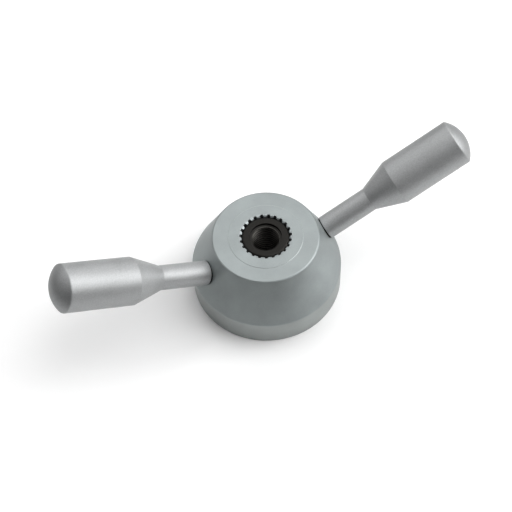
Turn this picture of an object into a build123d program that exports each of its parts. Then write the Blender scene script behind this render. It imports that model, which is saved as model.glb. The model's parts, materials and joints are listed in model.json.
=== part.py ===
from build123d import *
import math
import os

# Two-arm handwheel, in millimetres. The spindle axis is +Z and the arms run out along +X and -X.
# The origin is the centre of the hub's base, which stands on z = 0.

# Hub outline
base_d = 80.0
top_d = 56.0
hub_height = 40.5
band_height = 15.5
band_edge_radius = 2.0
top_edge = 0.6
base_edge = 0.5

# Hub underside
wall = 4.0
boss_wall = 4.5
rib_count = 6
rib_thickness = 2.5
rib_recess = 1.0
cell_corner_radius = 2.0

# Steel bush with a serrated rim and a threaded bore
tooth_count = 23
tooth_tip_d = 27.2
tooth_height = 1.5
tooth_tip_land = 1.05
tooth_root_land = 1.4
tooth_start_angle = 13.3
tooth_chamfer_angle = 35.0
face_margin = 0.3
bush_drop = 0.55
groove_depth = 0.9
groove_width = 6.0
thread_d = 16.0
thread_pitch = 2.0
counterbore_d = 17.0
counterbore_depth = 1.5
bore_chamfer = 1.2

# Mouth of the hub round the bush
bush_gap = 0.15
root_clearance = 0.45
mouth_chamfer = 0.75

# Arms
arm_angle = 25.0
arm_drop = 1.0
arm_standoff = 0.3
rod_d = 13.0
rod_length = 28.0
taper_length = 16.3
grip_d = 25.0
grip_length = 38.5
dome_height = 5.2

# Stud and insert that hold each arm
stud_d = 8.0
stud_chamfer = 0.8
stud_in_handle = 14.0
tapped_spare = 2.0
drill_point_angle = 118.0
insert_d = 12.0
insert_wall = 4.0
insert_floor = 2.0
insert_cover = 2.3
stud_gap = 0.05
insert_gap = 0.05

# Hub and bush, worked out from the sizes above
base_r = base_d / 2
top_r = top_d / 2
cone_slope = (base_r - top_r) / (hub_height - band_height)
tip_r = tooth_tip_d / 2
root_r = tip_r - tooth_height
face_r = root_r - face_margin
groove_r = root_r - groove_depth
blank_r = tip_r + tooth_tip_land
bore_r = (thread_d - thread_pitch) / 2
counterbore_r = counterbore_d / 2
bush_top = hub_height - bush_drop
blank_edge = bush_top - (blank_r - face_r) * math.tan(math.radians(tooth_chamfer_angle))
groove_low = (bush_top - groove_width) / 2
groove_high = groove_low + groove_width
land_end_r = root_r + root_clearance
mouth_r = land_end_r + mouth_chamfer
boss_r = tip_r + bush_gap + boss_wall
cell_r = base_r - wall

# Arms, by their distance along the arm from the spindle axis
arm_turns = {"right": 0.0, "left": 180.0}
arm_tilt = math.radians(arm_angle)
arm_exit_height = (band_height + hub_height) / 2 - arm_drop
arm_exit_r = base_r - cone_slope * (arm_exit_height - band_height)
arm_root_height = arm_exit_height - arm_exit_r * math.tan(arm_tilt)
arm_exit = arm_exit_r / math.cos(arm_tilt)
seat = arm_exit + arm_standoff
rod_end = seat + rod_length
grip_start = rod_end + taper_length
grip_end = grip_start + grip_length
tip = grip_end + dome_height
dome_radius = ((grip_d / 2) ** 2 + dome_height**2) / (2 * dome_height)
dome_angle = math.degrees(math.asin(grip_d / 2 / dome_radius))
insert_r = insert_d / 2
insert_boss_r = insert_r + insert_gap + insert_wall
cover_r = tip_r + bush_gap + insert_cover
insert_end = (cover_r + insert_r * math.sin(arm_tilt)) / math.cos(arm_tilt)
stud_start = insert_end + insert_floor
stud_end = seat + stud_in_handle
stud_bore_r = stud_d / 2 + stud_gap
tapped_end = stud_end + tapped_spare
drill_point = tapped_end + stud_bore_r / math.tan(math.radians(drill_point_angle / 2))


def arm_plane(turn):
    """Upright plane of one arm: x runs out along the arm from the spindle axis, y is the radius."""
    outward = Vector(math.cos(arm_tilt), 0, math.sin(arm_tilt)).rotate(Axis.Z, turn)
    normal = Vector(0, -1, 0).rotate(Axis.Z, turn)
    return Plane(origin=(0, 0, arm_root_height), x_dir=outward, z_dir=normal)


def arm_axis(turn):
    """Line that one arm is turned about."""
    plane = arm_plane(turn)
    return Axis(plane.origin, plane.x_dir)


def across_arm(turn, distance):
    """Plane square to an arm, at a distance from the spindle axis, with its y pointing up."""
    plane = arm_plane(turn)
    return Plane(
        origin=plane.origin + plane.x_dir * distance,
        x_dir=plane.z_dir * -1,
        z_dir=plane.x_dir,
    )


def serrated_outline(tip_gap, root_gap):
    """Corners of the serrations of the bush, or of the hub round it, which is wider by two gaps."""
    corners = []
    for tooth in range(tooth_count):
        tip_angle = tooth_start_angle + tooth * 360 / tooth_count
        root_angle = tip_angle + 180 / tooth_count
        for radius, angle, land in (
            (tip_r + tip_gap, tip_angle, tooth_tip_land + 2 * tip_gap),
            (root_r + root_gap, root_angle, tooth_root_land),
        ):
            corners.append(Vector(radius, -land / 2).rotate(Axis.Z, angle))
            corners.append(Vector(radius, land / 2).rotate(Axis.Z, angle))
    return corners


# Threaded bush: a turned blank with the serrations cut along its length
with BuildPart() as threaded_bush:
    with BuildSketch():
        with BuildLine():
            Polyline(*serrated_outline(0, 0), close=True)
        make_face()
    extrude(amount=bush_top)
    with BuildSketch(Plane.XZ):
        with BuildLine():
            Polyline(
                (bore_r + bore_chamfer, 0),
                (blank_r, 0),
                (blank_r, groove_low),
                (groove_r, groove_low),
                (groove_r, groove_high),
                (blank_r, groove_high),
                (blank_r, blank_edge),
                (face_r, bush_top),
                (counterbore_r, bush_top),
                (counterbore_r, bush_top - counterbore_depth),
                (bore_r, bush_top - counterbore_depth),
                (bore_r, bore_chamfer),
                close=True,
            )
        make_face()
    revolve(axis=Axis.Z, mode=Mode.INTERSECT)
threaded_bush.part.label = "threaded_bush"

# Space that the bush takes in the hub, with a chamfered mouth and the ring in the bush's groove left standing
with BuildPart() as bush_space:
    with BuildSketch():
        with BuildLine():
            Polyline(*serrated_outline(bush_gap, root_clearance), close=True)
        make_face()
    extrude(amount=hub_height)
    with BuildSketch(Plane.XY.offset(groove_low + bush_gap)):
        Circle(boss_r)
        Circle(groove_r + bush_gap, mode=Mode.SUBTRACT)
    extrude(amount=groove_width - 2 * bush_gap, mode=Mode.SUBTRACT)
    with BuildSketch(Plane.XZ):
        with BuildLine():
            Polyline(
                (0, hub_height),
                (mouth_r, hub_height),
                (land_end_r, hub_height - mouth_chamfer),
                (0, hub_height - mouth_chamfer),
                close=True,
            )
        make_face()
    revolve(axis=Axis.Z)

# Core that hollows the hub from below: cells between ribs, with bosses left for the arms' inserts
with BuildPart() as core:
    with BuildSketch(Plane.XZ):
        with BuildLine():
            Polyline(
                (0, -wall),
                (base_r, -wall),
                (base_r, band_height),
                (top_r, hub_height),
                (0, hub_height),
                close=True,
            )
        make_face()
        offset(amount=-wall, kind=Kind.INTERSECTION, mode=Mode.REPLACE)
    revolve(axis=Axis.Z)
    for turn in arm_turns.values():
        with BuildSketch(across_arm(turn, 0)):
            Circle(insert_boss_r)
            Rectangle(2 * insert_boss_r, hub_height, align=(Align.CENTER, Align.MIN))
        extrude(amount=base_d, mode=Mode.SUBTRACT)
    with BuildSketch(Plane.XY.offset(rib_recess)) as cells:
        Circle(cell_r)
        Circle(boss_r, mode=Mode.SUBTRACT)
        with PolarLocations(0, rib_count):
            Rectangle(base_d, rib_thickness, align=(Align.MIN, Align.CENTER), mode=Mode.SUBTRACT)
        fillet(cells.vertices(), radius=cell_corner_radius)
    extrude(amount=hub_height, mode=Mode.INTERSECT)
    with BuildSketch():
        Circle(cell_r)
        Circle(boss_r, mode=Mode.SUBTRACT)
    extrude(amount=rib_recess)

# Hub: one moulding
with BuildPart() as hub:
    with BuildSketch(Plane.XZ) as hub_section:
        with BuildLine():
            Polyline(
                (0, 0),
                (base_r, 0),
                (base_r, band_height),
                (top_r, hub_height),
                (0, hub_height),
                close=True,
            )
        make_face()
        rim_corner, outer_corners = hub_section.vertices().group_by(Axis.X)[1:]
        base_corner, band_corner = outer_corners.sort_by(Axis.Y)
        chamfer(base_corner, length=base_edge)
        chamfer(rim_corner, length=top_edge)
        fillet(band_corner, radius=band_edge_radius)
    revolve(axis=Axis.Z)
    add(core.part, mode=Mode.SUBTRACT)
    add(bush_space.part, mode=Mode.SUBTRACT)
    for turn in arm_turns.values():
        with BuildSketch(across_arm(turn, insert_end - insert_gap)):
            Circle(insert_r + insert_gap)
        extrude(amount=base_r, mode=Mode.SUBTRACT)
hub.part.label = "hub"

os.makedirs("parts", exist_ok=True)
export_step(hub.part, "parts/hub.step")
export_step(threaded_bush.part, "parts/threaded_bush.step")

# Each arm: a turned handle, the stud it is screwed on, and the steel insert in the hub
for side, turn in arm_turns.items():
    with BuildPart() as handle:
        with BuildSketch(arm_plane(turn)):
            with BuildLine():
                Polyline(
                    (drill_point, 0),
                    (tapped_end, stud_bore_r),
                    (seat, stud_bore_r),
                    (seat, rod_d / 2),
                    (rod_end, rod_d / 2),
                    (grip_start, grip_d / 2),
                    (grip_end, grip_d / 2),
                )
                CenterArc((tip - dome_radius, 0), dome_radius, 0, dome_angle)
                Line((tip, 0), (drill_point, 0))
            make_face()
        revolve(axis=arm_axis(turn))
    handle.part.label = "handle_" + side
    export_step(handle.part, "parts/handle_" + side + ".step")

    with BuildPart() as stud:
        with BuildSketch(across_arm(turn, stud_start)):
            Circle(stud_d / 2)
        extrude(amount=stud_end - stud_start)
        chamfer(stud.edges().filter_by(GeomType.CIRCLE), length=stud_chamfer)
    stud.part.label = "stud_" + side
    export_step(stud.part, "parts/stud_" + side + ".step")

    with BuildPart() as insert:
        with BuildSketch(across_arm(turn, insert_end)):
            Circle(insert_r)
        extrude(amount=seat - insert_end)
        with BuildSketch(across_arm(turn, stud_start - stud_gap)):
            Circle(stud_bore_r)
        extrude(amount=insert_end, mode=Mode.SUBTRACT)
    insert.part.label = "socket_insert_" + side
    export_step(insert.part, "parts/socket_insert_" + side + ".step")
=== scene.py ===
import json
import math

import bmesh
import bpy
from mathutils import Matrix, Vector


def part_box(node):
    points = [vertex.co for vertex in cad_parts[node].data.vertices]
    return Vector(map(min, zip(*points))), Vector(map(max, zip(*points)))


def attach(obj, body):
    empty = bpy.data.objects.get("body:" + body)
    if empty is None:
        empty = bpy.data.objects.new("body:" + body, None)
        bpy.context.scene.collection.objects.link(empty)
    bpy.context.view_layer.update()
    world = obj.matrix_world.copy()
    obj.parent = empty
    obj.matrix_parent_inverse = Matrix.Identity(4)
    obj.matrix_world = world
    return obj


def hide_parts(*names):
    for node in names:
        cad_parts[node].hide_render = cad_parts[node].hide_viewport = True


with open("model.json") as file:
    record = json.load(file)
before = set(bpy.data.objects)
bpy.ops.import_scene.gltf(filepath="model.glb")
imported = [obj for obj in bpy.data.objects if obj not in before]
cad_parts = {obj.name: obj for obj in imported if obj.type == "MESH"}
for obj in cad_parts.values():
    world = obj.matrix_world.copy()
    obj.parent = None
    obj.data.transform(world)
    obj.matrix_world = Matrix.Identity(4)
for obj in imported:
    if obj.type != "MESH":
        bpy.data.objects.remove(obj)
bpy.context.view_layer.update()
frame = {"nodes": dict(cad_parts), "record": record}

# Sizes are in millimetres up to the point where a mesh is made
MM = 0.001

# Sizes that the frame gives
base_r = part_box("hub")[1].y / MM
hub_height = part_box("hub")[1].z / MM
bush_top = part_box("threaded_bush")[1].z / MM
thread_mount = next(m for m in frame["record"]["mounts"] if m["name"] == "spindle_thread")
bore_r = thread_mount["dims"]["r_mm"]

# Hub
band_height = 15.5
top_r = 28.0
band_radius = 2.0
rim_chamfer = 0.4
rim_radius = 0.15
base_radius = 0.5
witness_r = 19.6
witness_step = 0.12
witness_slope = 0.15
rim_height = hub_height - witness_step

# Hub underside
wall = 4.0
boss_wall = 4.5
rib_count = 6
rib_thickness = 2.5
rib_recess = 1.0
cell_radius = 2.0
roof_radius = 1.0

# Serrated bush, and the hub's mouth round it
tooth_count = 23
tooth_tip_r = 13.6
tooth_root_r = 12.1
tooth_tip_land = 1.05
tooth_root_land = 1.4
tooth_round = 0.3
tooth_start_angle = 13.3
tooth_chamfer_angle = 35.0
face_r = 11.8
groove_r = 11.2
groove_width = 6.0
bush_gap = 0.15
root_clearance = 0.45
mouth_chamfer = 0.75
thread_r = 8.0
thread_pitch = 2.0
thread_root_land = 0.25
thread_crest_land = 0.6
counterbore_r = 8.5
counterbore_depth = 1.5
bore_chamfer = 1.2

# Arms. An arm's root is where its line meets the spindle axis. Its handle sits on the insert at the seat,
# and the insert's pocket ends at a flat floor.
arm_angle = 25.0
arm_root_height = 10.919
root_to_pocket = 20.457
root_to_seat = 38.345
rod_r = 6.5
rod_length = 28.0
taper_length = 16.3
grip_r = 12.5
grip_length = 38.5
dome_height = 5.185
insert_boss_r = 10.05
pocket_r = 6.05
tapped_r = 4.05
tapped_depth = 16.0
drill_point_angle = 118.0
hole_radius = 0.3
rod_end_radius = 0.4
taper_radius = 0.5
dome_edge = 0.5

# Circles that divide the flat faces of the hub and the bush. Each has a radius, and a share of even steps:
# at 0 its points stand as the serrations do, and at 1 they are evenly spaced.
mouth_circles = ((14.6, 0.3), (15.6, 0.7), (17.2, 1), (witness_r - 0.6, 1), (witness_r, 1))
rim_circles = ((witness_r + witness_slope, 1), (witness_r + 0.8, 1), (22.5, 1), (25.0, 1))
rim_start_r = 26.5
base_start_r = 38.0
base_circles = ((37.0, 1), (34.0, 1), (26.0, 1), (19.0, 1), (15.5, 0.5))
bush_foot_circles = ((bore_r + bore_chamfer, 1), (bore_r + bore_chamfer + 0.4, 1), (10.2, 0.7), (11.6, 0))
bush_face_circles = ((11.0, 0.4), (10.0, 0.8), (counterbore_r + 0.4, 1))

# Window that the hub's shell leaves open round each arm, as heights and half its angle in degrees
window_low = 18.3
window_high = 35.7
window_angle = 16.0

# How far below the mouth's chamfer the hub's serrations are full, and how much smaller than its bore the
# bush is before the thread is cut
neck_margin = 0.2
blank_margin = 0.3

# Small flats and rounds on other edges
fine_edge = 0.12
tooth_edge = 0.1
pocket_edge = 0.25

# Angles in degrees from which a mesh's edge is shaded as a sharp one, in general and on the threaded bush
sharp_angle = 32.0
thread_sharp_angle = 28.0

# Places of the two arms, as turns about the spindle axis in degrees
arm_turns = {"right": 0.0, "left": 180.0}

# Cone of the hub, as radius lost for each millimetre of height
cone_slope = (base_r - top_r) / (hub_height - band_height)

# Outer and inner side of the cells in the hub's underside
cell_outer_r = base_r - wall
cell_inner_r = tooth_tip_r + bush_gap + boss_wall

# Distances along an arm from its root
rod_end = root_to_seat + rod_length
grip_start = rod_end + taper_length
grip_end = grip_start + grip_length
tip = grip_end + dome_height
tapped_end = root_to_seat + tapped_depth


def rounded(corners, step=12.0):
    """Points of a line whose corners, given as (x, y, radius), are rounded by arcs."""
    points = []
    for i, (x, y, radius) in enumerate(corners):
        corner = Vector((x, y))
        if radius == 0 or i in (0, len(corners) - 1):
            points.append(corner)
            continue
        back = (Vector(corners[i - 1][:2]) - corner).normalized()
        ahead = (Vector(corners[i + 1][:2]) - corner).normalized()
        turn = math.pi - back.angle(ahead)
        reach = radius * math.tan(turn / 2)
        centre = corner + (back + ahead).normalized() * (radius / math.cos(turn / 2))
        start = corner + back * reach - centre
        way = -math.copysign(turn, back.x * ahead.y - back.y * ahead.x)
        count = max(2, math.ceil(math.degrees(turn) / step))
        for k in range(count + 1):
            spoke = start.copy()
            spoke.rotate(Matrix.Rotation(way * k / count, 2))
            points.append(centre + spoke)
    return points


def divided(points, longest):
    """The same line with its long stretches cut into equal ones."""
    result = [points[0]]
    for a, b in zip(points, points[1:]):
        count = max(1, math.ceil((b - a).length / longest - 1e-6))
        result += [a.lerp(b, k / count) for k in range(1, count + 1)]
    return result


def strip(bm, first, second, closed=True):
    """Faces between two rings of as many vertices."""
    count = len(first)
    for i in range(count if closed else count - 1):
        j = (i + 1) % count
        bm.faces.new((first[i], first[j], second[j], second[i]))


def fan(bm, ring, centre):
    """Triangles from a ring to its centre."""
    for i, vertex in enumerate(ring):
        bm.faces.new((vertex, ring[(i + 1) % len(ring)], centre))


def round_point(radius, angle, height):
    """Point at a radius, an angle about the Z axis and a height."""
    return Vector((radius * math.cos(angle), radius * math.sin(angle), height))


def add_ring(bm, points):
    """One vertex for each point, with points in millimetres."""
    return [bm.verts.new(Vector(p) * MM) for p in points]


def shade(bm, angle):
    """Smooth faces, with the edges that turn by more than an angle left sharp."""
    for face in bm.faces:
        face.smooth = True
    for edge in bm.edges:
        edge.smooth = edge.calc_face_angle(0.0) < math.radians(angle)


def piece(name, bm):
    """Object with a bmesh's faces, which uses up the bmesh."""
    bmesh.ops.recalc_face_normals(bm, faces=bm.faces)
    shade(bm, sharp_angle)
    mesh = bpy.data.meshes.new(name)
    bm.to_mesh(mesh)
    bm.free()
    made = bpy.data.objects.new(name, mesh)
    bpy.context.scene.collection.objects.link(made)
    return made


def weigh_normals(made):
    """Flat and straight faces keep their own shading right up to the rounds beside them."""
    weighting = made.modifiers.new("weighted_normals", "WEIGHTED_NORMAL")
    weighting.keep_sharp = True


def cut(made, tool, operation="DIFFERENCE"):
    """Joins, cuts or intersects an object with a tool, which is used up."""
    modifier = made.modifiers.new("cut", "BOOLEAN")
    modifier.operation = operation
    modifier.solver = "EXACT"
    modifier.object = tool
    evaluated = made.evaluated_get(bpy.context.evaluated_depsgraph_get())
    mesh = bpy.data.meshes.new_from_object(evaluated)
    made.modifiers.clear()
    made.data = mesh
    bpy.data.objects.remove(tool)
    return made


def mark_sharp(made, angle):
    """Tidies a cut mesh and marks its sharp edges again."""
    merge = 0.0005 * MM
    bm = bmesh.new()
    bm.from_mesh(made.data)
    bmesh.ops.remove_doubles(bm, verts=bm.verts, dist=merge)
    bmesh.ops.dissolve_degenerate(bm, edges=bm.edges, dist=merge)
    shade(bm, angle)
    bm.to_mesh(made.data)
    bm.free()


def revolve(name, profile, place=Matrix.Identity(4), segments=180):
    """Solid turned about the Z axis of a place.

    The profile is (height, radius) points. It starts and ends on the axis, or else it is closed.
    """
    bm = bmesh.new()
    rings = []
    for height, radius in profile:
        if radius < 1e-6:
            rings.append(bm.verts.new(place @ Vector((0, 0, height)) * MM))
            continue
        angles = [2 * math.pi * i / segments for i in range(segments)]
        rings.append(add_ring(bm, [place @ round_point(radius, a, height) for a in angles]))
    pairs = list(zip(rings, rings[1:]))
    if isinstance(rings[0], list):
        pairs.append((rings[-1], rings[0]))
    for first, second in pairs:
        if isinstance(first, list) and isinstance(second, list):
            strip(bm, first, second)
        elif isinstance(first, list):
            fan(bm, first, second)
        else:
            fan(bm, second, first)
    return piece(name, bm)


def arm_place(turn):
    """Frame of an arm, with its Z out along the arm from the spindle axis and its Y level."""
    return (
        Matrix.Rotation(math.radians(turn), 4, "Z")
        @ Matrix.Translation((0, 0, arm_root_height))
        @ Matrix.Rotation(math.radians(90 - arm_angle), 4, "Y")
    )


def outline_corner(radius, offset, turn):
    """Corner at a radius and an offset along the tangent, with its turn counted in teeth."""
    angle = math.radians(tooth_start_angle + turn * 360 / tooth_count)
    return Matrix.Rotation(angle, 2) @ Vector((radius, offset))


def serrated_outline(tip_gap=0.0, root_gap=0.0):
    """Twenty points a tooth along the bush's outline or the hub's mouth, which is wider by two gaps."""
    tip_half = tooth_tip_land / 2 + tip_gap
    root_half = tooth_root_land / 2
    corners = []
    for tooth in range(tooth_count):
        corners.append(outline_corner(tooth_tip_r + tip_gap, -tip_half, tooth))
        corners.append(outline_corner(tooth_tip_r + tip_gap, tip_half, tooth))
        corners.append(outline_corner(tooth_root_r + root_gap, -root_half, tooth + 0.5))
        corners.append(outline_corner(tooth_root_r + root_gap, root_half, tooth + 0.5))
    points = []
    for i, corner in enumerate(corners):
        before = corners[i - 1]
        after = corners[(i + 1) % len(corners)]
        start = corner + (before - corner).normalized() * tooth_round
        end = corner + (after - corner).normalized() * tooth_round
        for share in (0, 1 / 3, 2 / 3, 1):
            points.append(start.lerp(corner, share).lerp(corner.lerp(end, share), share))
        points.append((corner + after) / 2)
    return points[4:] + points[:4]


mouth = serrated_outline(bush_gap, root_clearance)
columns = len(mouth)


def column_angle(i, share):
    """Angle of a column, from the outline's own at share 0 to even steps at share 1."""
    even = math.radians(tooth_start_angle) + 2 * math.pi * i / columns
    own = math.atan2(mouth[i].y, mouth[i].x)
    own += 2 * math.pi * round((even - own) / (2 * math.pi))
    return own + (even - own) * share


def circle_points(radius, height, share=1.0):
    """Points of a level circle, one for each column."""
    return [round_point(radius, column_angle(i, share), height) for i in range(columns)]


def circles(radii, height):
    """Level circles of the mesh, from (radius, share) pairs."""
    return [circle_points(radius, height, share) for radius, share in radii]


def outline_points(outline, height):
    """Points of an outline at a height."""
    return [(p.x, p.y, height) for p in outline]


def sloped_points(outline, height_at):
    """Points of an outline, each at a height that depends on its radius."""
    return [(p.x, p.y, height_at(p.length)) for p in outline]


def opened_points(outline, height, least):
    """Points of an outline at a height, with those inside a least radius moved out to it."""
    points = []
    for p in outline:
        scale = max(1.0, least / p.length)
        points.append((p.x * scale, p.y * scale, height))
    return points


def cone_radius(height):
    """Radius of the hub's cone at a height."""
    return base_r - cone_slope * (height - band_height)


def on_cone(place, angle, reach):
    """Point of the hub's cone beside an arm, at an angle round the arm and a distance from its axis."""
    start = place @ round_point(reach, angle, 0)
    way = place.to_3x3() @ Vector((0, 0, 1))
    apex = base_r + cone_slope * band_height
    edge = apex - cone_slope * start.z
    slope = cone_slope * way.z
    a = way.x**2 + way.y**2 - slope**2
    b = 2 * (start.x * way.x + start.y * way.y + edge * slope)
    c = start.x**2 + start.y**2 - edge**2
    distance = (-b + math.sqrt(b * b - 4 * a * c)) / (2 * a)
    return start + way * distance


def pocket_mouth(bm, loop, place):
    """Fills the window that a loop of vertices leaves in the cone with the pocket of an arm's insert."""
    window_rings = 7
    round_steps = 4
    inward = place.inverted()
    way = place.to_3x3() @ Vector((0, 0, 1))
    spots = [inward @ (vertex.co / MM) for vertex in loop]
    angles = [math.atan2(s.y, s.x) for s in spots]
    reaches = [math.hypot(s.x, s.y) for s in spots]
    lip = pocket_r + pocket_edge
    ring = loop
    for k in range(1, window_rings + 1):
        share = k / window_rings
        share = share * (2 - share)
        points = [on_cone(place, a, r + (lip - r) * share) for a, r in zip(angles, reaches)]
        inner = add_ring(bm, points)
        strip(bm, ring, inner)
        ring = inner
    for k in range(1, round_steps + 1):
        turn = math.pi / 2 * k / round_steps
        reach = lip - pocket_edge * math.sin(turn)
        drop = pocket_edge * (1 - math.cos(turn))
        inner = add_ring(bm, [on_cone(place, a, reach) - way * drop for a in angles])
        strip(bm, ring, inner)
        ring = inner
    lows = [(inward @ (vertex.co / MM)).z for vertex in ring]
    for share in (0.33, 0.67, 1.0):
        heights = [low + (root_to_pocket - low) * share for low in lows]
        points = [place @ round_point(pocket_r, a, height) for a, height in zip(angles, heights)]
        inner = add_ring(bm, points)
        strip(bm, ring, inner)
        ring = inner
    fan(bm, ring, bm.verts.new(place @ Vector((0, 0, root_to_pocket)) * MM))


def mouth_rings():
    """Rings of the hub from the bore's lower end up to its mouth, and out to the edge of the mouth."""
    low = (bush_top - groove_width) / 2 + bush_gap
    high = low + groove_width - 2 * bush_gap
    neck = hub_height - mouth_chamfer
    neck_r = tooth_root_r + root_clearance
    wide = serrated_outline(bush_gap + fine_edge, root_clearance)
    return [
        outline_points(mouth, 0),
        outline_points(mouth, low / 2),
        outline_points(mouth, low),
        circle_points(groove_r + bush_gap, low, 0),
        circle_points(groove_r + bush_gap, high, 0),
        outline_points(mouth, high),
        outline_points(mouth, (high + hub_height) / 2),
        outline_points(mouth, neck - neck_margin),
        opened_points(mouth, neck, neck_r),
        opened_points(mouth, neck + mouth_chamfer / 3, neck_r + mouth_chamfer / 3),
        opened_points(mouth, neck + mouth_chamfer * 2 / 3, neck_r + mouth_chamfer * 2 / 3),
        opened_points(mouth, hub_height - fine_edge, neck_r + mouth_chamfer - fine_edge),
        opened_points(wide, hub_height, neck_r + mouth_chamfer + fine_edge),
    ]


def outer_section():
    """Outside of the hub, as (radius, height) points from its rim down to its base."""
    round_step = 15.0
    longest = 1.05
    low = rim_height - rim_chamfer
    corners = [
        (rim_start_r, rim_height, 0),
        (cone_radius(rim_height) - rim_chamfer, rim_height, rim_radius),
        (cone_radius(low), low, rim_radius),
        (base_r, band_height, band_radius),
        (base_r, 0, base_radius),
        (base_start_r, 0, 0),
    ]
    return divided(rounded(corners, round_step), longest)


def window_columns(turn):
    """First and last column of the window that is left open round an arm."""
    middle = columns * (turn - tooth_start_angle) / 360
    half = columns * window_angle / 360
    return math.ceil(middle - half), math.floor(middle + half)


def window_loop(rings, low, high):
    """Vertices round a window, with rings from its upper to its lower side."""
    loop = [rings[0][c % columns] for c in range(low, high)]
    loop += [ring[high % columns] for ring in rings[:-1]]
    loop += [rings[-1][c % columns] for c in range(high, low, -1)]
    loop += [ring[low % columns] for ring in rings[:0:-1]]
    return loop


def hub_shell():
    """Outside of the hub, its serrated mouth and the pockets of its two inserts, closed by a flat base."""
    bm = bmesh.new()
    section = outer_section()
    ring_points = mouth_rings() + circles(mouth_circles, hub_height) + circles(rim_circles, rim_height)
    first = len(ring_points)
    ring_points += [circle_points(p.x, p.y) for p in section]
    ring_points += circles(base_circles, 0)
    rings = [add_ring(bm, points) for points in ring_points]
    rows = [first + k for k, p in enumerate(section) if window_low < p.y < window_high]
    window_rows = range(rows[0], rows[-1])
    open_faces = set()
    for turn in arm_turns.values():
        for column in range(*window_columns(turn)):
            open_faces.update((row, column % columns) for row in window_rows)
    for row, upper in enumerate(rings):
        lower = rings[(row + 1) % len(rings)]
        for i in range(columns):
            if (row, i) in open_faces:
                continue
            j = (i + 1) % columns
            bm.faces.new((upper[i], upper[j], lower[j], lower[i]))
    for turn in arm_turns.values():
        loop = window_loop(rings[rows[0]:rows[-1] + 1], *window_columns(turn))
        pocket_mouth(bm, loop, arm_place(turn))
    loose = [v for v in bm.verts if not v.link_faces]
    bmesh.ops.delete(bm, geom=loose, context="VERTS")
    return piece("hub_body", bm)


def prism(name, outline, low, high, place=Matrix.Identity(4)):
    """Straight solid with an outline of (x, y) points, between two heights of a place."""
    bm = bmesh.new()
    ends = [add_ring(bm, [place @ Vector((*p, height)) for p in outline]) for height in (low, high)]
    strip(bm, *ends)
    for ring in ends:
        bm.faces.new(ring)
    return piece(name, bm)


def arc(centre, radius, start, end, step=4.0):
    """Points of an arc, with angles in radians."""
    count = max(2, math.ceil(math.degrees(abs(end - start)) / step))
    points = []
    for k in range(count + 1):
        angle = start + (end - start) * k / count
        points.append(centre + Vector((radius * math.cos(angle), radius * math.sin(angle))))
    return points


def cell_outline():
    """Outline of one cell of the underside, from the rib along +X to the next one."""
    away = rib_thickness / 2 + cell_radius
    outer_x = math.sqrt((cell_outer_r - cell_radius) ** 2 - away**2)
    inner_x = math.sqrt((cell_inner_r + cell_radius) ** 2 - away**2)
    outer_turn = math.atan2(away, outer_x)
    inner_turn = math.atan2(away, inner_x)
    half_pitch = math.pi / rib_count
    corner_step = 15.0
    half = [Vector((cell_inner_r * math.cos(half_pitch), cell_inner_r * math.sin(half_pitch)))]
    half += arc(Vector((0, 0)), cell_inner_r, half_pitch, inner_turn)[1:]
    half += arc(Vector((inner_x, away)), cell_radius, inner_turn + math.pi, 1.5 * math.pi, corner_step)[1:]
    half += arc(Vector((outer_x, away)), cell_radius, -0.5 * math.pi, outer_turn, corner_step)
    half += arc(Vector((0, 0)), cell_outer_r, outer_turn, half_pitch)[1:]
    other = []
    for point in half[1:-1]:
        mirrored = Vector((point.x, -point.y))
        mirrored.rotate(Matrix.Rotation(2 * half_pitch, 2))
        other.append(mirrored)
    return half + other[::-1]


def hub_core():
    """Solid that fills the underside's cells, with the inserts' bosses taken out of it."""
    slant = math.hypot(1, cone_slope)
    inner_band = band_height + (base_r - wall * slant - cell_outer_r) / cone_slope
    roof = hub_height - wall
    roof_r = cone_radius(roof) - wall * slant
    section = [
        (0, 0, 0),
        (0, cell_outer_r, 0),
        (inner_band, cell_outer_r, roof_radius),
        (roof, roof_r, roof_radius),
        (roof, 0, 0),
    ]
    longest = 4.0
    core = revolve("core", divided(rounded(section), longest))
    outline = cell_outline()
    cells = bmesh.new()
    for k in range(rib_count):
        turn = Matrix.Rotation(2 * math.pi * k / rib_count, 4, "Z")
        low = add_ring(cells, [turn @ Vector((*p, rib_recess)) for p in outline])
        high = add_ring(cells, [turn @ Vector((*p, hub_height)) for p in outline])
        strip(cells, low, high)
        cells.faces.new(low)
        cells.faces.new(high)
    cut(core, piece("cells", cells), "INTERSECT")
    boss = arc(Vector((0, 0)), insert_boss_r, -0.5 * math.pi, 0.5 * math.pi)
    boss += [Vector((-hub_height, insert_boss_r)), Vector((-hub_height, -insert_boss_r))]
    for turn in arm_turns.values():
        cut(core, prism("boss", boss, 0, 2 * base_r, arm_place(turn)))
    below = -1.0
    ring_section = [
        (below, cell_inner_r),
        (below, cell_outer_r),
        (rib_recess, cell_outer_r),
        (rib_recess, cell_inner_r),
    ]
    return cut(core, revolve("ring", ring_section), "UNION")


def make_hub():
    """The hub: one moulding, cored from below."""
    hub = hub_shell()
    cut(hub, hub_core())
    hub.name = "hub_body"
    mark_sharp(hub, sharp_angle)
    weigh_normals(hub)
    return hub


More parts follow.
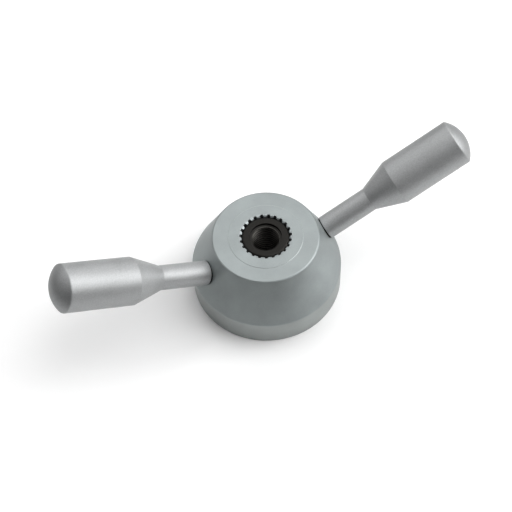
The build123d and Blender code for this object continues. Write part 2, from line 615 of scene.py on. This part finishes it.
def screw(name, profile, pitch, low, high):
    """Solid screw with flat ends, of a profile of (height, radius) points over one pitch."""
    segments = 96
    turns_below = 2
    turns_above = 1
    bm = bmesh.new()
    turns = turns_below + math.ceil((high - low) / pitch) + turns_above
    rows = turns * len(profile)
    grid = []
    for i in range(segments + 1):
        angle = 2 * math.pi * i / segments
        points = []
        for k in range(rows):
            turn, index = divmod(k, len(profile))
            height, radius = profile[index]
            z = low + (turn - turns_below + i / segments) * pitch + height
            points.append(round_point(radius, angle, z))
        grid.append(points)
    verticals = [add_ring(bm, points) for points in grid[:-1]]
    last = verticals[0][len(profile):]
    last += add_ring(bm, grid[-1][rows - len(profile):])
    verticals.append(last)
    for first, second in zip(verticals, verticals[1:]):
        strip(bm, first, second, closed=False)
    for height, outward in ((low * MM, -1), (high * MM, 1)):
        bmesh.ops.bisect_plane(
            bm,
            geom=bm.verts[:] + bm.edges[:] + bm.faces[:],
            plane_co=(0, 0, height),
            plane_no=(0, 0, outward),
            clear_outer=True,
        )
        rim = [e for e in bm.edges if e.is_boundary and abs(e.verts[0].co.z - height) < 1e-7]
        bmesh.ops.edgeloop_fill(bm, edges=rim)
    return piece(name, bm)


def thread_profile(outer, inner, pitch, outer_land, inner_land):
    """One pitch of a sixty-degree thread, as (height, radius) points with eased corners."""
    flank = (pitch - outer_land - inner_land) / 2
    ease = 0.18
    points = []
    z = 0.0
    for start, end, length in (
        (outer, outer, outer_land),
        (outer, inner, flank),
        (inner, inner, inner_land),
        (inner, outer, flank),
    ):
        for share in (ease, 0.5, 1 - ease):
            points.append((z + length * share, start + (end - start) * share))
        z += length
    return points


def bush_rings():
    """Rings round the bush's section: its foot, its serrated side, its face, its counterbore and its bore."""
    edge = fine_edge
    ease = edge * 0.3
    fall = math.tan(math.radians(tooth_chamfer_angle))
    outline = serrated_outline()
    inset = [p * (1 - tooth_edge / p.length) for p in outline]
    groove_low = (bush_top - groove_width) / 2
    groove_high = groove_low + groove_width
    ledge = bush_top - counterbore_depth
    blank_r = bore_r - blank_margin

    def tooth_top(radius):
        return bush_top - (radius - face_r) * fall

    side = [
        outline_points(outline, 0),
        outline_points(outline, groove_low / 2),
        outline_points(outline, groove_low),
        circle_points(groove_r, groove_low, 0),
        circle_points(groove_r, groove_high, 0),
        outline_points(outline, groove_high),
        outline_points(outline, (groove_high + bush_top) / 2),
        sloped_points(outline, lambda radius: tooth_top(radius) - tooth_edge),
        sloped_points(inset, tooth_top),
        circle_points(face_r + edge, bush_top - edge * fall, 0),
        circle_points(face_r - edge, bush_top, 0),
    ]
    counterbore = [
        circle_points(counterbore_r + edge, bush_top),
        circle_points(counterbore_r + ease, bush_top - ease),
        circle_points(counterbore_r, bush_top - edge),
        circle_points(counterbore_r, bush_top - counterbore_depth / 2),
        circle_points(counterbore_r, ledge + edge),
        circle_points(counterbore_r - ease, ledge + ease),
        circle_points(counterbore_r - edge, ledge),
        circle_points(bore_r + edge, ledge),
        circle_points(bore_r + ease, ledge - ease),
    ]
    bore = [
        circle_points(blank_r, ledge - edge - blank_margin),
        circle_points(blank_r, bush_top / 2),
        circle_points(blank_r, bore_chamfer + blank_margin),
    ]
    foot = circles(bush_foot_circles, 0)
    face = circles(bush_face_circles, bush_top)
    return foot + side + face + counterbore + bore


def make_bush():
    """The steel bush: serrated outside, chamfered teeth, a groove round its waist and a cut thread."""
    overrun = 1.0
    bm = bmesh.new()
    rings = [add_ring(bm, points) for points in bush_rings()]
    for first, second in zip(rings, rings[1:] + rings[:1]):
        strip(bm, first, second)
    bush = piece("bush_body", bm)
    profile = thread_profile(thread_r, bore_r, thread_pitch, thread_root_land, thread_crest_land)
    cut(bush, screw("thread_tool", profile, thread_pitch, -overrun, bush_top + overrun))
    mark_sharp(bush, thread_sharp_angle)
    weigh_normals(bush)
    return bush


def grip_dome():
    """Domed end of a handle, as (height, radius) points from the grip to the tip."""
    steps = 18
    dome_r = (grip_r**2 + dome_height**2) / (2 * dome_height)
    widest = math.asin(grip_r / dome_r)
    points = []
    for k in range(steps + 1):
        angle = widest * (1 - k / steps)
        points.append(Vector((tip - dome_r + dome_r * math.cos(angle), dome_r * math.sin(angle))))
    points[-1].y = 0
    return points


def make_handle(side, turn):
    """One turned handle: rod, taper, grip and shallow domed end, with a tapped hole in its hidden end."""
    longest = 2.0
    drill_point = tapped_end + tapped_r / math.tan(math.radians(drill_point_angle / 2))
    section = [
        (drill_point, 0, 0),
        (tapped_end, tapped_r, 0),
        (root_to_seat, tapped_r, hole_radius),
        (root_to_seat, rod_r, rod_end_radius),
        (rod_end, rod_r, taper_radius),
        (grip_start, grip_r, taper_radius),
        (grip_end, grip_r, 0),
    ]
    before = Vector((grip_end - dome_edge, grip_r))
    line = divided(rounded(section)[:-1], longest)
    line += divided([line[-1], before], longest)[1:]
    dome = grip_dome()
    corner = dome[0]
    after = corner + (dome[1] - corner).normalized() * dome_edge
    for share in (0.2, 0.4, 0.6, 0.8, 1):
        line.append(before.lerp(corner, share).lerp(corner.lerp(after, share), share))
    line += dome[1:]
    handle = revolve("handle_body_" + side, line, arm_place(turn), segments=160)
    weigh_normals(handle)
    return handle


hub = make_hub()
bush = make_bush()
handles = {side: make_handle(side, turn) for side, turn in arm_turns.items()}

# Sockets of a Mix node, by their place in its lists
number_a = 2
number_b = 3
number_result = 0
colour_a = 6
colour_b = 7
colour_result = 2


class Finish:
    """A new material with its node tree and its surface shader, and shorthands for adding nodes."""

    def __init__(self, name):
        self.material = bpy.data.materials.new(name)
        self.material.use_nodes = True
        self.nodes = self.material.node_tree.nodes
        self.link = self.material.node_tree.links.new
        self.surface = self.nodes["Principled BSDF"]

    def add(self, kind, **inputs):
        """Node of a kind, with constants on its inputs."""
        node = self.nodes.new("ShaderNode" + kind)
        for key, value in inputs.items():
            node.inputs[key.replace("_", " ")].default_value = value
        return node

    def object_point(self):
        """Place of a point in the row frame, in metres."""
        return self.add("TexCoord").outputs["Object"]

    def noise(self, point, **inputs):
        """Noise from 0 to 1 at a point."""
        texture = self.add("TexNoise", **inputs)
        self.link(point, texture.inputs["Vector"])
        return texture.outputs["Fac"]

    def feed(self, socket, source):
        """Links an output to an input, or sets a constant on it."""
        if isinstance(source, bpy.types.NodeSocket):
            self.link(source, socket)
        else:
            socket.default_value = source

    def calculated(self, operation, *values):
        """Result of a calculation."""
        node = self.add("Math")
        node.operation = operation
        for socket, value in zip(node.inputs, values):
            self.feed(socket, value)
        return node.outputs["Value"]

    def mixed(self, factor, first, second, blend_type="MIX"):
        """Mix of two colours."""
        node = self.add("Mix")
        node.data_type = "RGBA"
        node.blend_type = blend_type
        self.feed(node.inputs["Factor"], factor)
        self.feed(node.inputs[colour_a], first)
        self.feed(node.inputs[colour_b], second)
        return node.outputs[colour_result]

    def length(self, vector):
        """Length of a vector."""
        node = self.add("VectorMath")
        node.operation = "LENGTH"
        self.link(vector, node.inputs[0])
        return node.outputs["Value"]

    def ranged(self, value, start, end, before, after, smooth=False):
        """A value's way from start to end, as a number that goes from before to after."""
        node = self.add("MapRange", From_Min=start, From_Max=end, To_Min=before, To_Max=after)
        if smooth:
            node.interpolation_type = "SMOOTHSTEP"
        self.link(value, node.inputs["Value"])
        return node.outputs["Result"]

    def tinted(self, colour, axes, start, end, before, after):
        """A colour times a tint, which changes from one to another over a distance along some axes."""
        counted = self.add("VectorMath")
        counted.operation = "MULTIPLY"
        counted.inputs[1].default_value = axes
        self.link(self.object_point(), counted.inputs[0])
        reach = self.length(counted.outputs["Vector"])
        share = self.ranged(reach, start * MM, end * MM, 0.0, 1.0)
        tint = self.mixed(share, (*before, 1), (*after, 1))
        return self.mixed(1.0, colour, tint, "MULTIPLY")

    def toned(self, blend, colour, spread):
        """A colour that a blend of noises makes darker and lighter by a spread."""
        ramp = self.add("ValToRGB")
        stops = ramp.color_ramp.elements
        for stop, place, share in zip(stops, (0.3, 0.7), (1 - spread, 1 + spread)):
            stop.position = place
            stop.color = [c * share for c in colour] + [1]
        self.link(blend, ramp.inputs["Fac"])
        return ramp.outputs["Color"]

    def edges(self, width):
        """Wear and painted highlight on convex and hollow edges, from how far a bevel of a width would turn
        the surface.
        """
        bevel = self.add("Bevel", Radius=width * MM)
        bevel.samples = 4
        turn = self.add("VectorMath")
        turn.operation = "DOT_PRODUCT"
        self.link(bevel.outputs["Normal"], turn.inputs[0])
        self.link(self.add("NewGeometry").outputs["Normal"], turn.inputs[1])
        return self.ranged(turn.outputs["Value"], wear_and_highlight_start, wear_and_highlight_full, 0.0, most_wear_and_highlight)


# Grain and edge wear of all the finishes, whose lighter edges are also a painted highlight. The wear starts
# and is full at these cosines of a bevel's turn.
patch_scale = 70.0
shine_spread = 0.07
relief_strength = 0.4
relief_depth = 0.04
wear_and_highlight_start = 0.99
wear_and_highlight_full = 0.85
most_wear_and_highlight = 0.8
worn_shine = 0.25


def grain_material(
    name,
    colour,
    metallic,
    roughness,
    spread=0.05,
    fine_share=0.7,
    grain=0.3,
    worn_and_highlit=1.2,
    edge=0.25,
    painted_light_tints=(),
):
    """A finish with a fine grain, uneven colour and roughness, edges worn smoother and painted lighter as
    wear and highlight, and tints of painted light.
    """
    made = Finish(name)
    surface = made.surface
    surface.inputs["Metallic"].default_value = metallic
    point = made.object_point()
    patches = made.noise(point, Scale=patch_scale, Detail=3.0)
    fine = made.noise(point, Scale=1 / (grain * MM), Detail=3.0, Roughness=0.6)
    mix = made.add("Mix", Factor=fine_share)
    made.link(patches, mix.inputs[number_a])
    made.link(fine, mix.inputs[number_b])
    blend = mix.outputs[number_result]
    tone = made.toned(blend, colour, spread)
    # Tints of painted light, making areas lighter or darker as light falling on them would
    for tint in painted_light_tints:
        tone = made.tinted(tone, *tint)
    edge_wear_and_highlight = made.edges(edge)
    # Edges painted lighter: wear, and a painted highlight
    rubbed_and_highlit = made.mixed(edge_wear_and_highlight, tone, [c * worn_and_highlit for c in colour] + [1])
    made.link(rubbed_and_highlit, surface.inputs["Base Color"])
    dull = made.ranged(blend, 0.0, 1.0, roughness - shine_spread, roughness + shine_spread)
    made.link(made.calculated("MULTIPLY_ADD", edge_wear_and_highlight, -worn_shine, dull), surface.inputs["Roughness"])
    relief = made.add("Bump", Strength=relief_strength, Distance=relief_depth * MM)
    made.link(fine, relief.inputs["Height"])
    made.link(relief.outputs["Normal"], surface.inputs["Normal"])
    return made.material


# Painted light, as tints: the axes that their distance counts, where they start and end, and their colours
# there.
# The band at the hub's foot is painted lighter and warmer and the cone above it darker, as painted floor
# bounce;
# the lands of its mouth and the crests of the thread are painted brighter, as painted highlights
by_height = (0, 0, 1)
by_radius = (1, 1, 0)
untinted = (1, 1, 1)
mouth_r = tooth_root_r + root_clearance + mouth_chamfer
band_bounce_light_tint = (by_height, band_height - 1.5, band_height + 0.5, (1.045, 1.03, 1.015), (0.97, 0.985, 0.988))
land_highlight_tint = (by_radius, mouth_r + 0.05, mouth_r + 0.15, (1.4, 1.4, 1.42), untinted)
crest_highlight_tint = (by_radius, bore_r + 0.12, bore_r + 0.35, (4.5, 4.5, 4.4), untinted)

# Painted floor bounce on the band and painted highlights on the mouth's lands, as tints
plastic = grain_material(
    "hub_plastic",
    (0.332, 0.357, 0.357),
    metallic=0.85,
    roughness=0.52,
    spread=0.14,
    fine_share=0.35,
    grain=0.4,
    worn_and_highlit=1.4,
    edge=0.5,
    painted_light_tints=(band_bounce_light_tint, land_highlight_tint),
)
# Painted highlights on the thread's crests, as a tint
black = grain_material(
    "black_steel",
    (0.022, 0.0212, 0.0198),
    metallic=1.0,
    roughness=0.4,
    spread=0.2,
    worn_and_highlit=2.0,
    painted_light_tints=(crest_highlight_tint,),
)
silver = grain_material(
    "handle_metal",
    (0.42, 0.429, 0.433),
    metallic=0.65,
    roughness=0.51,
    spread=0.17,
    grain=0.65,
    worn_and_highlit=1.3,
)
zinc = grain_material("stud_steel", (0.5, 0.5, 0.51), metallic=1.0, roughness=0.35)


def dress(made, material, slot, *nodes):
    """Gives a piece its material, hangs it on the root body and hides the frame's nodes that it stands for.
    """
    made.data.materials.clear()
    made.data.materials.append(material)
    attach(made, "root")
    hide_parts(*nodes)


dress(hub, plastic, "hub_plastic", "hub")
dress(bush, black, "black_steel", "threaded_bush")
for side, handle in handles.items():
    dress(handle, silver, "handle_metal", "handle_" + side)
for side in handles:
    for node, material in (("stud_" + side, zinc), ("socket_insert_" + side, black)):
        carried = frame["nodes"][node]
        carried.data.materials.clear()
        carried.data.materials.append(material)

# Camera, at the photograph's place: angles in degrees, lengths in millimetres
camera_turn = -20.9542
camera_elevation = 57.5581
camera_roll = -2.7525
camera_distance = 755.017
camera_right = 6.0696
camera_up = -11.3525
focal_pixels = 1379.9053
image_pixels = 512


def make_camera():
    """Camera that sees the object as the photograph does."""
    elevation = math.radians(camera_elevation)
    roll = math.radians(camera_roll)
    forward = Vector((0, math.cos(elevation), -math.sin(elevation)))
    level = Vector((1, 0, 0))
    square = level.cross(forward)
    right = level * math.cos(roll) + square * math.sin(roll)
    up = square * math.cos(roll) - level * math.sin(roll)
    matrix = Matrix((right, up, -forward)).transposed().to_4x4()
    matrix.translation = -(right * camera_right + up * camera_up + forward * camera_distance) * MM
    data = bpy.data.cameras.new("camera")
    data.sensor_width = 36.0
    data.lens = data.sensor_width * focal_pixels / image_pixels
    data.clip_start = 0.01
    data.clip_end = 50.0
    camera = bpy.data.objects.new("camera", data)
    camera.matrix_world = Matrix.Rotation(math.radians(camera_turn), 4, "Z") @ matrix
    bpy.context.scene.collection.objects.link(camera)
    bpy.context.scene.camera = camera


make_camera()

# Lamps, in metres. Azimuths are in degrees to the right of what is straight behind the object in the
# photograph, and the columns are: name, azimuth, elevation, size, watts.
lamp_distance = 1.2
lamp_aim = Vector((0, 0, 0.02))
lamps = (
    ("high_right", 90, 62, 1.3, 9.6),
    ("low_right", 90, 25, 1.0, 9.0),
    ("back", 0, 40, 1.3, 3.8),
    ("back_right", 35, 38, 1.3, 2.5),
    ("top", 0, 90, 1.2, 2.2),
    ("back_left", -45, 40, 1.3, 3.8),
    ("left", -90, 40, 1.3, 1.8),
)


def area_light(name, azimuth, elevation, size, watts):
    """Soft square lamp that faces the hub."""
    data = bpy.data.lights.new(name, "AREA")
    data.shape = "SQUARE"
    data.size = size
    data.energy = watts
    turn = math.radians(camera_turn + 90 - azimuth)
    rise = math.radians(elevation)
    way = Vector((math.cos(turn) * math.cos(rise), math.sin(turn) * math.cos(rise), math.sin(rise)))
    lamp = bpy.data.objects.new(name, data)
    lamp.location = lamp_aim + way * lamp_distance
    lamp.rotation_euler = way.to_track_quat("Z", "Y").to_euler()
    bpy.context.scene.collection.objects.link(lamp)


for lamp in lamps:
    area_light(*lamp)

# Floor, in metres: its grey near the object and further away, and where one fades into the other
floor_half = 6.0
floor_grey = 0.96
far_grey = 0.15
fade_start = 0.14
fade_end = 0.4

# Area where the floor keeps its shadow: an oval along the arms, pushed to the left, and a circle round
# the hub, pushed to the front. Outside both, the floor is lifted towards white for the camera.
oval_length = 0.105
oval_width = 0.036
oval_left = 0.038
circle_r = 0.055
circle_front = 0.01
lift_start = 0.6
lift_end = 1.2
least_lift = 0.01
most_lift = 0.13


def shadow_distance(made, point):
    """Distance from the middle of the oval or the circle, whichever is nearer, in parts of its size."""
    turn = math.radians(camera_turn)
    front = circle_front / circle_r
    oval_place = (oval_left / oval_length, 0, 0)
    oval_scale = (1 / oval_length, 1 / oval_width, 0)
    circle_place = (-front * math.sin(turn), front * math.cos(turn), 0)
    circle_scale = (1 / circle_r, 1 / circle_r, 0)
    distances = []
    for place, scale in ((oval_place, oval_scale), (circle_place, circle_scale)):
        mapping = made.add("Mapping", Location=place, Scale=scale)
        made.link(point, mapping.inputs["Vector"])
        distances.append(made.length(mapping.outputs["Vector"]))
    return made.calculated("MINIMUM", *distances)


def floor_material():
    """Matt floor, pale near the object. What the camera sees of it fades to white away from the shadow."""
    made = Finish("floor")
    made.surface.inputs["Roughness"].default_value = 1.0
    made.surface.inputs["Specular IOR Level"].default_value = 0.0
    point = made.object_point()
    reach = made.length(point)
    grey = made.ranged(reach, fade_start, fade_end, floor_grey, far_grey, smooth=True)
    made.link(grey, made.surface.inputs["Base Color"])
    away = made.ranged(reach, fade_start, fade_end, 0.0, 1.0, smooth=True)
    distance = shadow_distance(made, point)
    near = made.ranged(distance, lift_start, lift_end, least_lift, most_lift, smooth=True)
    total = made.calculated("ADD", away, near)
    seen = made.add("LightPath").outputs["Is Camera Ray"]
    glow = made.add("Emission")
    made.link(made.calculated("MULTIPLY", total, seen), glow.inputs["Strength"])
    both = made.add("AddShader")
    made.link(made.surface.outputs["BSDF"], both.inputs[0])
    made.link(glow.outputs["Emission"], both.inputs[1])
    made.link(both.outputs["Shader"], made.nodes["Material Output"].inputs["Surface"])
    return made.material


def make_floor():
    """Plain square floor, centred under the object."""
    bm = bmesh.new()
    corners = ((-1, -1), (1, -1), (1, 1), (-1, 1))
    bm.faces.new([bm.verts.new((x * floor_half, y * floor_half, 0)) for x, y in corners])
    mesh = bpy.data.meshes.new("floor")
    bm.to_mesh(mesh)
    bm.free()
    mesh.materials.append(floor_material())
    floor = bpy.data.objects.new("floor", mesh)
    bpy.context.scene.collection.objects.link(floor)


make_floor()


def make_world():
    """White sky where the camera sees it, which sheds no light on the object."""
    world = bpy.data.worlds.new("world")
    bpy.context.scene.world = world
    world.use_nodes = True
    tree = world.node_tree
    background = tree.nodes["Background"]
    background.inputs["Color"].default_value = (1, 1, 1, 1)
    rays = tree.nodes.new("ShaderNodeLightPath")
    tree.links.new(rays.outputs["Is Camera Ray"], background.inputs["Strength"])


make_world()

bpy.context.scene.view_settings.view_transform = "Standard"
